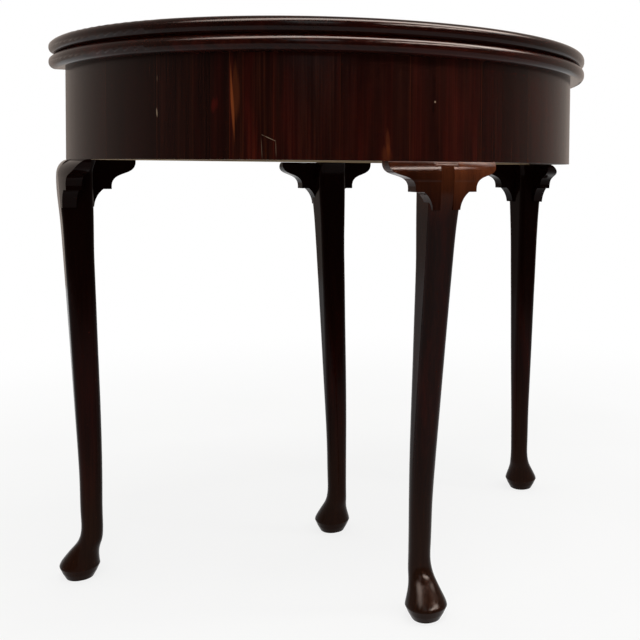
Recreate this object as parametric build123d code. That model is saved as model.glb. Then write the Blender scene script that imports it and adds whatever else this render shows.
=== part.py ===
from build123d import *
import os
from math import atan2, cos, degrees, hypot, radians, sin, sqrt

os.makedirs("parts", exist_ok=True)

# Half-round folding card table, in millimetres. It is drawn with the hinge line of the
# two leaves on the X axis, the bowed front towards -Y and the floor at Z = 0. The finished
# pieces are then moved so that the middle of the table's plan box stands over the origin.

# Overall sizes
top_width = 800.0
top_depth = 398.0
table_height = 730.0
leaf_thickness = 19.4
frieze_height = 121.6
overhang = 20.0

# Leaves and what joins them
leaf_gap = 0.4
leaf_edge_gap = 0.25
edge_round_share = 0.46
hinge_spread_share = 0.625
hinge_length = 60.0
hinge_plate_height = 13.0
hinge_plate_thickness = 2.4
hinge_knuckle_radius = 3.5
hinge_pin_radius = 1.6
hinge_clearance = 0.3
hinge_recess_clearance = 0.5
pin_running_clearance = 0.05
tongue_width = 34.0
tongue_thickness = 5.0
tongue_reach = 5.0
tongue_root = 16.0
tongue_clearance = 0.3

# Frieze: veneer over curved cores that are built of short bricks in courses
veneer_thickness = 1.2
core_thickness = 24.0
tenon_thickness = 10.0
tenon_length = 16.0
tenon_shoulder = 6.0

# Back framing
frame_inset = 9.0
rail_thickness = 22.0
inner_rail_thickness = 18.0
housing_gap = 0.6
swing_gap = 1.0
packing_setback = 40.0
brace_thickness = 22.0
brace_height = 60.0

# Legs
stile_width = 36.0
corner_leg_setback = 14.5
front_leg_setback = 9.5
knee_width = 43.0
knee_drop = 24.0
corner_knee_shift = 9.0
middle_knee_shift = 11.0
ankle_width = 28.0
ankle_height = 86.0
corner_lean = 24.0
middle_lean = 40.0
neck_height = 62.0
corner_kick = 19.5
middle_kick = 17.7
pad_width = 52.0
pad_height = 16.0
sole_width = 36.0
pad_bulge = 1.0

# Ears: the shaped brackets beside each knee
ear_reach = 74.0
ear_drop = 40.0
ear_thickness = 20.0
ear_nose_drop = 2.0
ear_step_reach = 42.0
ear_step_height = 4.0
ear_ledge_reach = 31.0
ear_cove_drop = 24.0
ear_cove_reach = 19.0
ear_fall = 3.0
front_ear_share = 0.9
ear_clearance = 0.4

# Gate: the swinging rail with its leg
gate_pivot_share = 0.3
gate_clearance = 0.4
knuckle_clearance = 0.5
knuckle_axial_gap = 0.3
knuckle_count = 5
knuckle_pin_radius = 3.0
knuckle_pin_inset = 2.0
peg_radius = 3.5
peg_spacing = 52.0
peg_offset = 8.0
gate_tenon_length = 26.0

# Glue blocks and wood screws
block_width = 26.0
block_height = 24.0
block_length = 42.0
top_screw_length = 34.0
top_screw_radius = 2.2
top_screw_head_radius = 4.4
hinge_screw_length = 14.0
hinge_screw_radius = 1.4
hinge_screw_head_radius = 2.6
screw_slot_width_share = 0.22
screw_slot_depth_share = 0.35

# Allowance by which every cutting solid runs past what it cuts
overrun = 5.0

# Section of a leg from the frieze down to the knee: share of the knee's drop, share of the
# way out from the frieze's face to the knee, rounding of the corners
shoulder_shares = [
    (0.00, 0.00, 0.30),
    (0.08, 0.40, 0.28),
    (0.25, 0.68, 0.25),
    (0.55, 0.92, 0.28),
    (1.00, 1.00, 0.30),
]

# Section of a leg from the knee down to the ankle: share of the height between them, share
# of the inward lean, share of the thinning still left, rounding of the corners
shaft_shares = [
    (0.885, 0.13, 0.80, 0.36),
    (0.795, 0.22, 0.64, 0.42),
    (0.665, 0.37, 0.53, 0.51),
    (0.510, 0.55, 0.42, 0.63),
    (0.355, 0.73, 0.33, 0.77),
    (0.215, 0.88, 0.20, 0.88),
    (0.095, 0.965, 0.07, 0.94),
    (0.000, 1.00, 0.00, 0.94),
]

# Section of the foot from the neck down to the pad's sharp edge: share of the height
# between them, share of the outward kick, share of the widening, rounding of the corners
neck_shares = [
    (1.00, 0.00, 0.02, 0.94),
    (0.80, 0.12, 0.10, 0.94),
    (0.64, 0.32, 0.20, 0.94),
    (0.48, 0.56, 0.37, 0.94),
    (0.30, 0.78, 0.61, 0.94),
    (0.13, 0.94, 0.86, 0.94),
    (0.00, 1.00, 1.00, 0.94),
]

# Joints between the veneer leaves and between the bricks of each course, as shares of the
# frieze's turn and of each half of it
veneer_joint_shares = [
    0.045, 0.121, 0.198, 0.241, 0.280, 0.3245, 0.3885,
    0.459, 0.5435, 0.619, 0.704, 0.780, 0.854, 0.927,
]
outer_course_joint_shares = [1 / 3, 2 / 3]
middle_course_joint_shares = [1 / 2]
glue_block_shares = [0.12, 0.27, 0.41, 0.59, 0.73, 0.88]
hinge_screw_shares = [-0.36, 0.0, 0.36]
ear_ogee_middle_shares = (0.47, 0.50)
ear_cove_middle_shares = (0.60, 0.34)

# Heights
seam_z = table_height - leaf_thickness - leaf_gap / 2
leaf_under_z = seam_z - leaf_gap / 2 - leaf_thickness
frieze_z = leaf_under_z - frieze_height
knee_z = frieze_z - knee_drop
gate_top_z = leaf_under_z - gate_clearance

# Plan: each leaf is a little less than half of a round, struck from behind the hinge line
half_width = top_width / 2
hinge_spread = top_width * hinge_spread_share
gate_pivot_x = top_width * gate_pivot_share
plan_radius = (top_depth ** 2 + half_width ** 2) / (2 * top_depth)
plan_centre_y = plan_radius - top_depth
frieze_radius = plan_radius - overhang
core_radius = frieze_radius - veneer_thickness
core_inner_radius = core_radius - core_thickness
back_y = -frame_inset
rail_inner_y = back_y - rail_thickness
stile_inner_y = back_y - stile_width
inner_rail_back_y = stile_inner_y - housing_gap
inner_rail_front_y = inner_rail_back_y - inner_rail_thickness


def half_width_at(radius, y):
    """Half the width of a round of the plan's centre at a distance y from the hinge line."""
    return sqrt(radius ** 2 - (plan_centre_y - y) ** 2)


# Stiles: the square tops of the legs, which stand inside the frieze
corner_stile_x = half_width_at(core_radius, back_y)
corner_stile_inner_x = corner_stile_x - stile_width
front_stile_y = plan_centre_y - core_radius
front_stile_inner_y = front_stile_y + stile_width
stile_half = stile_width / 2

# Places where the legs stand, and the way each one kicks out
corner_leg_y = back_y - stile_half
corner_leg_x = half_width_at(frieze_radius, corner_leg_y) - corner_leg_setback
front_leg_y = front_stile_y + stile_half + front_leg_setback
gate_leg_y = back_y - stile_half
diagonal = sqrt(1 / 2)
knee_half = knee_width / 2

# Way out of each leg's topmost section from the leg's own line, so that its outer face
# starts flush with the frieze or the back rail
corner_top_shift = (corner_leg_setback - stile_half) / diagonal
front_top_shift = front_leg_y - stile_half - plan_centre_y + frieze_radius
gate_top_shift = 0.0

# Outer faces of the knees, and the rounds and planes that carry the ears flush with them
corner_knee_x = corner_leg_x + corner_knee_shift * diagonal + knee_half
corner_knee_front_y = corner_leg_y + corner_knee_shift * diagonal - knee_half
corner_knee_back_y = corner_leg_y + corner_knee_shift * diagonal + knee_half
corner_ear_radius = hypot(corner_knee_x, plan_centre_y - corner_knee_front_y)
front_ear_radius = hypot(knee_half, plan_centre_y - front_leg_y + middle_knee_shift + knee_half)
gate_knee_back_y = gate_leg_y + middle_knee_shift + knee_half

# Turn of the frieze, in degrees about the plan's centre, from the left corner to the right
start_angle = 180 + degrees(atan2(plan_centre_y - back_y, half_width_at(frieze_radius, back_y)))
end_angle = 540 - start_angle
front_angle = 270
past_angle = degrees(overrun / core_inner_radius)

# Move that brings the plan box's middle over the origin
corner_foot_shift = corner_knee_shift - corner_lean + corner_kick
corner_foot_back_y = corner_leg_y + corner_foot_shift * diagonal + pad_width / 2
rear_reach = max(tongue_reach, corner_foot_back_y, gate_knee_back_y)
plan_shift = (top_depth - rear_reach) / 2

knuckle_radius = rail_thickness / 2
knuckle_y = back_y - knuckle_radius
knuckle_shoulder = knuckle_radius + knuckle_clearance
knuckle_height = frieze_height / knuckle_count


def save(name, shape):
    """Move one finished piece into the table's frame and write it."""
    placed = Pos(0, plan_shift, 0) * shape
    placed.label = name
    export_step(placed, f"parts/{name}.step")


def block(x_low, x_high, y_low, y_high, z_low, z_high):
    """A square-edged block between two corners."""
    size = Box(x_high - x_low, y_high - y_low, z_high - z_low)
    return Pos((x_low + x_high) / 2, (y_low + y_high) / 2, (z_low + z_high) / 2) * size


def round_block(radius, z_low, z_high):
    """A solid round about the plan's centre."""
    return Pos(0, plan_centre_y, (z_low + z_high) / 2) * Cylinder(radius, z_high - z_low)


def bowed_wall(inner, outer, z_low, z_high, first_angle, last_angle):
    """A stretch of curved wall about the plan's centre."""
    section = Plane.XZ * Pos((inner + outer) / 2, (z_low + z_high) / 2)
    section = section * Rectangle(outer - inner, z_high - z_low)
    turned = Rot(0, 0, first_angle) * section
    wall = revolve(turned, Axis.Z, revolution_arc=last_angle - first_angle)
    return Pos(0, plan_centre_y, 0) * wall


def in_front_of(y_limit):
    """A block that holds everything in front of a line across the table."""
    reach = top_width + overrun
    return block(-reach, reach, -reach, y_limit, -overrun, table_height + overrun)


def upright_pin(x, y, radius, z_low, z_high):
    """A round pin or bore along Z."""
    return Pos(x, y, (z_low + z_high) / 2) * Cylinder(radius, z_high - z_low)


def pin_along_x(x_low, x_high, y, z, radius):
    """A round pin or bore along X."""
    return Pos((x_low + x_high) / 2, y, z) * Rot(0, 90, 0) * Cylinder(radius, x_high - x_low)


def pin_along_y(x, y_low, y_high, z, radius):
    """A round pin or bore along Y."""
    return Pos(x, (y_low + y_high) / 2, z) * Rot(90, 0, 0) * Cylinder(radius, y_high - y_low)


def screw_blank(length, radius, head_radius):
    """A countersunk wood screw without its slot, head uppermost, its top face at Z = 0."""
    head_depth = head_radius - radius
    head = Pos(0, 0, -head_depth / 2) * Cone(radius, head_radius, head_depth)
    tip_length = radius * 2
    shank_length = length - head_depth - tip_length
    shank = Pos(0, 0, -head_depth - shank_length / 2) * Cylinder(radius, shank_length)
    tip = Pos(0, 0, tip_length / 2 - length) * Cone(radius / 4, radius, tip_length)
    return head + shank + tip


def slotted_screw(length, radius, head_radius):
    """The same screw with its slot."""
    width = 2 * head_radius * screw_slot_width_share
    depth = head_radius * screw_slot_depth_share
    slot = block(-head_radius, head_radius, -width / 2, width / 2, -depth, overrun)
    return screw_blank(length, radius, head_radius) - slot


# Hinges


def hinge_centres():
    """Places along X of the two hinges."""
    return [-hinge_spread / 2, hinge_spread / 2]


def hinge_screw_places(side):
    """Screw positions in one hinge plate; side is -1 below the seam and 1 above it."""
    z = seam_z + side * hinge_plate_height * 5 / 8
    return [(share * hinge_length, z) for share in hinge_screw_shares]


def hinge_plate(centre_x, side):
    """One leaf of a hinge: the plate let into the back edge with its rolled knuckles."""
    low_x = centre_x - hinge_length / 2
    high_x = centre_x + hinge_length / 2
    near_y = -leaf_edge_gap
    far_y = near_y - hinge_plate_thickness
    edges = sorted([seam_z + side * leaf_gap / 2, seam_z + side * hinge_plate_height])
    plate = block(low_x, high_x, far_y, near_y, edges[0], edges[1])
    first = centre_x - hinge_length / 6
    last = centre_x + hinge_length / 6
    if side < 0:
        kept = [(low_x, first - hinge_clearance / 2), (last + hinge_clearance / 2, high_x)]
        cleared = [(first - hinge_clearance / 2, last + hinge_clearance / 2)]
        bore = hinge_pin_radius
    else:
        kept = [(first + hinge_clearance / 2, last - hinge_clearance / 2)]
        cleared = [(low_x - overrun, first + hinge_clearance / 2)]
        cleared += [(last - hinge_clearance / 2, high_x + overrun)]
        bore = hinge_pin_radius + pin_running_clearance
    for x_low, x_high in cleared:
        plate -= pin_along_x(x_low, x_high, 0, seam_z, hinge_knuckle_radius + hinge_clearance)
    for x_low, x_high in kept:
        plate += pin_along_x(x_low, x_high, 0, seam_z, hinge_knuckle_radius)
    plate -= pin_along_x(low_x - overrun, high_x + overrun, 0, seam_z, bore)
    for dx, z in hinge_screw_places(side):
        plate -= Pos(centre_x + dx, near_y, z) * Rot(-90, 0, 0) * hinge_screw_blank()
    return plate


def hinge_screw_blank():
    """The plain shape that a hinge screw fills."""
    return screw_blank(hinge_screw_length, hinge_screw_radius, hinge_screw_head_radius)


def hinge_recess(centre_x, side):
    """What is cut from a leaf's back edge for one hinge plate, its knuckles and its screws."""
    low_x = centre_x - hinge_length / 2
    high_x = centre_x + hinge_length / 2
    far_y = -leaf_edge_gap - hinge_plate_thickness
    edges = sorted([seam_z, seam_z + side * hinge_plate_height])
    bed = block(low_x, high_x, far_y, overrun, edges[0], edges[1])
    barrel = hinge_knuckle_radius + hinge_recess_clearance
    bed += pin_along_x(low_x, high_x, 0, seam_z, barrel)
    for dx, z in hinge_screw_places(side):
        hole = Pos(centre_x + dx, -leaf_edge_gap, z) * Rot(-90, 0, 0) * hinge_screw_blank()
        bed += hole
    return bed


def hinge_screws(side):
    """All the screws that hold the plates of one leaf."""
    screws = []
    screw = slotted_screw(hinge_screw_length, hinge_screw_radius, hinge_screw_head_radius)
    for centre_x in hinge_centres():
        for dx, z in hinge_screw_places(side):
            screws.append(Pos(centre_x + dx, -leaf_edge_gap, z) * Rot(-90, 0, 0) * screw)
    return Compound(children=screws)


def hinge_pins():
    """The two hinge pins."""
    pins = []
    for centre_x in hinge_centres():
        low_x = centre_x - hinge_length / 2
        high_x = centre_x + hinge_length / 2
        pins.append(pin_along_x(low_x, high_x, 0, seam_z, hinge_pin_radius))
    return Compound(children=pins)


# Leaves of the top


def leaf(z_low, z_high):
    """One half-round leaf with a rounded edge all along its curve."""
    board = round_block(plan_radius, z_low, z_high) & in_front_of(-leaf_edge_gap)
    rims = [edge for edge in board.edges() if edge.geom_type == GeomType.CIRCLE]
    return fillet(rims, leaf_thickness * edge_round_share)


def tongue_centre_z():
    """Height of the tongue above the seam: the middle of the folding leaf."""
    return leaf_gap / 2 + leaf_thickness / 2


def tongue(clearance):
    """The locating tongue in the folding leaf's back edge."""
    half = tongue_width / 2 + clearance
    middle = seam_z + tongue_centre_z()
    rise = tongue_thickness / 2 + clearance
    root = -leaf_edge_gap - tongue_root
    return block(-half, half, root, tongue_reach, middle - rise, middle + rise)


def tongue_mortise():
    """The slot in the fixed leaf that the tongue swings into as the top opens."""
    half = tongue_width / 2 + tongue_clearance
    rise = tongue_thickness / 2
    top = seam_z - tongue_centre_z() + rise + tongue_clearance
    sweep = hypot(tongue_reach, tongue_centre_z() + rise)
    bottom = seam_z - sweep - tongue_clearance
    return block(-half, half, -tongue_reach - tongue_clearance, overrun, bottom, top)


def fixed_leaf():
    """The lower leaf, screwed down to the frame."""
    board = leaf(leaf_under_z, seam_z - leaf_gap / 2)
    for centre_x in hinge_centres():
        board -= hinge_recess(centre_x, -1)
    board -= tongue_mortise()
    for place in top_screw_places():
        board -= place * top_screw_blank()
    return board


def folding_leaf():
    """The upper leaf, which opens over the gate."""
    board = leaf(seam_z + leaf_gap / 2, table_height)
    for centre_x in hinge_centres():
        board -= hinge_recess(centre_x, 1)
    return board - tongue(0)


# Frieze


def frieze_angle(share):
    """Angle of a place on the frieze, given as a share of its whole turn."""
    return start_angle + share * (end_angle - start_angle)


def veneer_leaf(first_share, last_share):
    """One upright leaf of veneer on the frieze."""
    first_angle = frieze_angle(first_share) - (past_angle if first_share == 0 else 0)
    last_angle = frieze_angle(last_share) + (past_angle if last_share == 1 else 0)
    skin = bowed_wall(
        core_radius, frieze_radius, frieze_z, leaf_under_z, first_angle, last_angle
    )
    return skin & in_front_of(back_y)


def brick_course(side, level, joint_shares):
    """One course of bricks in one half of the frieze, between the front and corner stiles."""
    z_low = frieze_z + level * frieze_height / 3
    z_high = z_low + frieze_height / 3
    outer_angle = start_angle if side < 0 else end_angle
    angles = [outer_angle + share * (front_angle - outer_angle) for share in joint_shares]
    angles = [outer_angle + side * past_angle] + angles + [front_angle]
    far = top_width
    half_x = sorted([side * stile_half, side * far])
    zone = block(half_x[0], half_x[1], -far, stile_inner_y, z_low - overrun, z_high + overrun)
    bricks = []
    for first, last in zip(angles, angles[1:]):
        turn = sorted([first, last])
        wall = bowed_wall(core_inner_radius, core_radius, z_low, z_high, turn[0], turn[1])
        bricks.append(wall & zone)
    if level == 1:
        bricks[0] += corner_tenon(side)
        bricks[-1] += front_tenon(side)
    return Compound(children=bricks)


def tenon_z():
    """Lowest and highest point of the tenons on the middle course."""
    low = frieze_z + frieze_height / 3 + tenon_shoulder
    high = frieze_z + 2 * frieze_height / 3 - tenon_shoulder
    return low, high


def corner_tenon(side):
    """The tenon by which one half of the frieze enters its corner stile."""
    low, high = tenon_z()
    middle = half_width_at(core_radius - core_thickness / 2, stile_inner_y)
    edges = sorted([side * (middle - tenon_thickness / 2), side * (middle + tenon_thickness / 2)])
    near_y = stile_inner_y - tenon_thickness
    return block(edges[0], edges[1], near_y, stile_inner_y + tenon_length, low, high)


def front_tenon(side):
    """The tenon by which one half of the frieze enters the front stile."""
    low, high = tenon_z()
    middle = plan_centre_y - core_radius + core_thickness / 2
    edges = sorted([side * (stile_half - tenon_length), side * (stile_half + tenon_thickness)])
    half = tenon_thickness / 2
    return block(edges[0], edges[1], middle - half, middle + half, low, high)


# Legs


def leg_section(x, y, direction, shift, z, width, rounding):
    """One level cross-section of a leg: a square with rounded corners."""
    place = Plane(origin=(x + direction[0] * shift, y + direction[1] * shift, z))
    return place * RectangleRounded(width, width, width / 2 * rounding)


def leg_below_frieze(x, y, direction, top_shift, knee_shift, lean, kick):
    """The carved part of a leg: knee, tapering shaft, ankle and pad foot."""
    ankle_shift = knee_shift - lean
    foot_shift = ankle_shift + kick
    limb = []
    for drop, widening, rounding in shoulder_shares:
        width = stile_width + widening * (knee_width - stile_width)
        z = frieze_z - drop * knee_drop
        shift = top_shift + widening * (knee_shift - top_shift)
        limb.append(leg_section(x, y, direction, shift, z, width, rounding))
    for rise, leaning, thinning, rounding in shaft_shares:
        width = ankle_width + thinning * (knee_width - ankle_width)
        z = ankle_height + rise * (knee_z - ankle_height)
        shift = knee_shift - leaning * lean
        limb.append(leg_section(x, y, direction, shift, z, width, rounding))
    for rise, kicking, widening, rounding in neck_shares:
        width = ankle_width + widening * (pad_width - ankle_width)
        z = pad_height + rise * (neck_height - pad_height)
        shift = ankle_shift + kicking * kick
        limb.append(leg_section(x, y, direction, shift, z, width, rounding))
    middle_width = (pad_width + sole_width) / 2 + pad_bulge
    rounding = neck_shares[-1][3]
    pad = [
        leg_section(x, y, direction, foot_shift, pad_height, pad_width, rounding),
        leg_section(x, y, direction, foot_shift, pad_height / 2, middle_width, rounding),
        leg_section(x, y, direction, foot_shift, 0, sole_width, rounding),
    ]
    return loft(limb) + loft(pad, ruled=True)


def left_leg():
    """The left corner leg with its stile, mortised for the frieze and the outer rail."""
    carved = leg_below_frieze(
        -corner_leg_x, corner_leg_y, (-diagonal, diagonal),
        corner_top_shift, corner_knee_shift, corner_lean, corner_kick
    )
    far_x = -corner_stile_x - overrun
    stile = block(far_x, -corner_stile_inner_x, stile_inner_y, back_y, frieze_z, leaf_under_z)
    stile = stile & round_block(core_radius, frieze_z, leaf_under_z)
    stile = stile - corner_tenon(-1) - rail_tenon(-1)
    return carved + stile


def front_leg():
    """The front leg with its stile, mortised for both halves of the frieze."""
    carved = leg_below_frieze(
        0, front_leg_y, (0, -1), front_top_shift, middle_knee_shift, middle_lean, middle_kick
    )
    near_y = front_stile_y - overrun
    stile = block(-stile_half, stile_half, near_y, front_stile_inner_y, frieze_z, leaf_under_z)
    stile = stile & round_block(core_radius, frieze_z, leaf_under_z)
    stile = stile - front_tenon(-1) - front_tenon(1) - brace_tenon()
    return carved + stile


def gate_leg():
    """The swinging back leg with its stile, mortised and pegged for the gate rail."""
    carved = leg_below_frieze(
        0, gate_leg_y, (0, 1), gate_top_shift, middle_knee_shift, middle_lean, middle_kick
    )
    stile = block(-stile_half, stile_half, stile_inner_y, back_y, frieze_z, gate_top_z)
    stile = stile - gate_tenon()
    for peg in gate_pegs():
        stile -= peg
    return carved + stile


def ear_profile(drop_at_top, height_share):
    """Outline of an ear in the plane of its face, with the leg's axis at X = 0."""
    high = -drop_at_top
    step_z = -ear_drop * height_share
    nose = (ear_reach, -ear_nose_drop - drop_at_top)
    step_top = (ear_step_reach, step_z + ear_step_height)
    step_foot = (ear_step_reach, step_z)
    ledge = (ear_ledge_reach, step_z)
    foot = (ear_cove_reach, step_z - ear_cove_drop * height_share)
    ogee_x = step_top[0] + ear_ogee_middle_shares[0] * (nose[0] - step_top[0])
    ogee_z = step_top[1] + ear_ogee_middle_shares[1] * (nose[1] - step_top[1])
    cove_x = foot[0] + (1 - ear_cove_middle_shares[0]) * (ledge[0] - foot[0])
    cove_z = foot[1] + (1 - ear_cove_middle_shares[1]) * (ledge[1] - foot[1])
    inner_x = stile_half / 2
    lines = [
        Line((inner_x, high), (ear_reach, high)),
        Line((ear_reach, high), nose),
        Spline(nose, (ogee_x, ogee_z), step_top, tangents=[(0, -1), (0, -1)]),
        Line(step_top, step_foot),
        Line(step_foot, ledge),
        ThreePointArc(ledge, (cove_x, cove_z), foot),
        Line(foot, (inner_x, foot[1])),
        Line((inner_x, foot[1]), (inner_x, high)),
    ]
    return make_face(lines)


def ear_slab(side, x, y, drop_at_top=0.0, height_share=1.0):
    """An ear as a thick slab along X, on one side of a leg that stands at x, y."""
    face = Plane.XZ * ear_profile(drop_at_top, height_share)
    slab = extrude(face, amount=top_depth, both=True)
    if side < 0:
        slab = mirror(slab, about=Plane.YZ)
    return Pos(x, y, frieze_z) * slab


def shoulder_face(start, knee):
    """Section of an ear: start is where its outer face meets the rail, knee its full reach."""
    swell = knee - start
    inner = knee - ear_thickness
    low = -ear_drop - ear_cove_drop - overrun
    middle = (start + swell * diagonal, -knee_drop * (1 - diagonal))
    lines = [
        Line((inner, 0), (start, 0)),
        ThreePointArc((start, 0), middle, (knee, -knee_drop)),
        Line((knee, -knee_drop), (knee - ear_fall, low)),
        Line((knee - ear_fall, low), (inner, low)),
        Line((inner, low), (inner, 0)),
    ]
    return make_face(lines)


def back_ear(side, x, knee_back_y, leg, drop_at_top=0.0):
    """A straight ear under a back rail; side says which side of its leg it is on."""
    section = Plane.YZ * shoulder_face(back_y, knee_back_y)
    bar = Pos(0, 0, frieze_z) * extrude(section, amount=top_width, both=True)
    return (ear_slab(side, x, 0, drop_at_top) & bar) - leg


def ear_ring(knee_radius):
    """The curved band in which the ears under the frieze lie."""
    section = Plane.XZ * shoulder_face(frieze_radius, knee_radius)
    return Pos(0, plan_centre_y, frieze_z) * revolve(section, Axis.Z)


def front_leg_left_ear(leg):
    """The curved ear under the frieze on the left of the front leg."""
    zone = ear_ring(front_ear_radius) & in_front_of(plan_centre_y - core_radius / 2)
    return (ear_slab(-1, 0, 0, height_share=front_ear_share) & zone) - leg


def left_leg_front_ear(leg):
    """The curved ear under the frieze in front of the left corner leg."""
    slab = Pos(-corner_leg_x, corner_leg_y, 0) * Rot(0, 0, -90) * ear_slab(1, 0, 0)
    zone = ear_ring(corner_ear_radius) & block(-top_width, 0, -top_width, 0, 0, table_height)
    return (slab & zone) - leg


# Back framing


def rail_tenon(side):
    """The tenon of an outer back rail in its corner stile."""
    edges = sorted([
        side * (corner_stile_inner_x - tenon_thickness),
        side * (corner_stile_inner_x + tenon_length / 2),
    ])
    middle = back_y - rail_thickness / 2
    half = tenon_thickness / 2
    low = frieze_z + tenon_shoulder
    high = frieze_z + frieze_height / 3
    return block(edges[0], edges[1], middle - half, middle + half, low, high)


def inner_back_rail():
    """The rail across the frame, in front of the gate, let in between the bowed walls."""
    far = top_width
    rail = block(-far, far, inner_rail_front_y, inner_rail_back_y, frieze_z, leaf_under_z)
    return rail & round_block(core_inner_radius, frieze_z, leaf_under_z)


def left_outer_rail():
    """The fixed outer rail from the left corner to the gate leg."""
    rail = block(
        -corner_stile_inner_x, -stile_half - swing_gap, rail_inner_y, back_y, frieze_z, leaf_under_z
    )
    return rail + rail_tenon(-1)


def packing_block(x_low, x_high):
    """A block that ties an outer rail to the inner one."""
    return block(x_low, x_high, inner_rail_back_y, rail_inner_y, frieze_z, leaf_under_z)


def knuckle_levels(parity):
    """Bottom and top of every second knuckle."""
    levels = []
    for index in range(parity, knuckle_count, 2):
        low = frieze_z + index * knuckle_height
        levels.append((low, low + knuckle_height))
    return levels


def knuckles(side, levels, trim, bore, top_limit):
    """Round wooden knuckles and the necks that join them to their rail."""
    fingers = []
    for low, high in levels:
        z_low = low + trim if low > frieze_z else low
        z_high = min(high - trim if high < leaf_under_z else high, top_limit)
        edges = sorted([gate_pivot_x, gate_pivot_x + side * knuckle_shoulder])
        finger = upright_pin(gate_pivot_x, knuckle_y, knuckle_radius, z_low, z_high)
        finger += block(edges[0], edges[1], rail_inner_y, back_y, z_low, z_high)
        finger -= upright_pin(gate_pivot_x, knuckle_y, bore, z_low - overrun, z_high + overrun)
        fingers.append(finger)
    return fingers


def knuckle_rail():
    """The fixed outer rail from the knuckle joint to the right corner."""
    low_x = gate_pivot_x + knuckle_shoulder
    rail = block(low_x, corner_stile_inner_x, rail_inner_y, back_y, frieze_z, leaf_under_z)
    levels = knuckle_levels(0)
    for finger in knuckles(1, levels, knuckle_axial_gap / 2, knuckle_pin_radius, leaf_under_z):
        rail += finger
    return rail + rail_tenon(1)


def gate_tenon():
    """The tenon of the gate rail in its leg."""
    middle = knuckle_y
    half = tenon_thickness / 2
    low = frieze_z + 2 * tenon_shoulder
    high = gate_top_z - 2 * tenon_shoulder
    return block(
        stile_half - gate_tenon_length, stile_half + tenon_thickness,
        middle - half, middle + half, low, high
    )


def gate_pegs():
    """The two pegs that lock the gate rail's tenon in its leg."""
    middle = frieze_z + frieze_height / 2
    pegs = []
    for side in (-1, 1):
        z = middle + side * peg_spacing / 2
        pegs.append(pin_along_y(stile_half - peg_offset, stile_inner_y, back_y, z, peg_radius))
    return pegs


def gate_rail():
    """The swinging rail, tenoned to the gate leg and hung on the knuckle joint."""
    high_x = gate_pivot_x - knuckle_shoulder
    rail = block(stile_half, high_x, rail_inner_y, back_y, frieze_z, gate_top_z)
    bore = knuckle_pin_radius + pin_running_clearance
    levels = knuckle_levels(1)
    for finger in knuckles(-1, levels, knuckle_axial_gap / 2, bore, gate_top_z):
        rail += finger
    rail += gate_tenon()
    for peg in gate_pegs():
        rail -= peg
    return rail


def knuckle_pin():
    """The iron pin of the knuckle joint."""
    low = frieze_z + knuckle_pin_inset
    high = leaf_under_z - knuckle_pin_inset
    return upright_pin(gate_pivot_x, knuckle_y, knuckle_pin_radius, low, high)


def brace_tenon():
    """The tenon of the brace in the front stile."""
    half = tenon_thickness / 2
    middle = leaf_under_z - brace_height / 2
    rise = brace_height / 2 - tenon_shoulder
    near_y = front_stile_inner_y - tenon_length / 2
    return block(
        -half, half, near_y, front_stile_inner_y + tenon_thickness, middle - rise, middle + rise
    )


def centre_brace():
    """The brace from the front stile to the inner back rail, under the top."""
    half = brace_thickness / 2
    low = leaf_under_z - brace_height
    brace = block(-half, half, front_stile_inner_y, inner_rail_front_y, low, leaf_under_z)
    return brace + brace_tenon()


# Glue blocks and the screws that hold the top


def glue_block_places():
    """Middles of the glue blocks, turned to face the plan's centre."""
    places = []
    radius = core_inner_radius - block_width / 2
    for share in glue_block_shares:
        angle = frieze_angle(share)
        x = radius * cos(radians(angle))
        y = plan_centre_y + radius * sin(radians(angle))
        places.append(Pos(x, y, leaf_under_z - block_height / 2) * Rot(0, 0, angle))
    return places


def top_screw_places():
    """Places of the screws' heads under the glue blocks, pointing up."""
    drop = Pos(0, 0, -block_height / 2) * Rot(180, 0, 0)
    return [place * drop for place in glue_block_places()]


def top_screw_blank():
    """The plain shape that a top screw fills."""
    return screw_blank(top_screw_length, top_screw_radius, top_screw_head_radius)


def glue_blocks():
    """Blocks rubbed into the corner between the frieze and the top."""
    blocks = []
    inside = round_block(core_inner_radius, frieze_z, leaf_under_z)
    for place, screw_place in zip(glue_block_places(), top_screw_places()):
        body = place * Box(block_width + overrun, block_length, block_height)
        blocks.append((body & inside) - screw_place * top_screw_blank())
    return Compound(children=blocks)


def top_screws():
    """The screws that hold the fixed leaf down."""
    screw = slotted_screw(top_screw_length, top_screw_radius, top_screw_head_radius)
    return Compound(children=[place * screw for place in top_screw_places()])


# Write the fixed frame
save("fixed_leaf", fixed_leaf())

joints = [0.0] + veneer_joint_shares + [1.0]
for number, (first, last) in enumerate(zip(joints, joints[1:]), start=1):
    save(f"veneer_leaf_{number:02d}", veneer_leaf(first, last))

courses = [
    ("lower", outer_course_joint_shares),
    ("middle", middle_course_joint_shares),
    ("upper", outer_course_joint_shares),
]
for level, (course, shares) in enumerate(courses):
    save(f"left_{course}_bricks", brick_course(-1, level, shares))
    save(f"right_{course}_bricks", brick_course(1, level, shares))

front = front_leg()
front_ear = front_leg_left_ear(front)
save("front_leg", front)
save("front_leg_left_ear", front_ear)
save("front_leg_right_ear", mirror(front_ear, about=Plane.YZ))

corner = left_leg()
corner_pieces = {
    "leg": corner,
    "leg_front_ear": left_leg_front_ear(corner),
    "leg_back_ear": back_ear(1, -corner_leg_x, corner_knee_back_y, corner),
}
for name, piece in corner_pieces.items():
    save(f"left_{name}", piece)
    save(f"right_{name}", mirror(piece, about=Plane.YZ))

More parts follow.
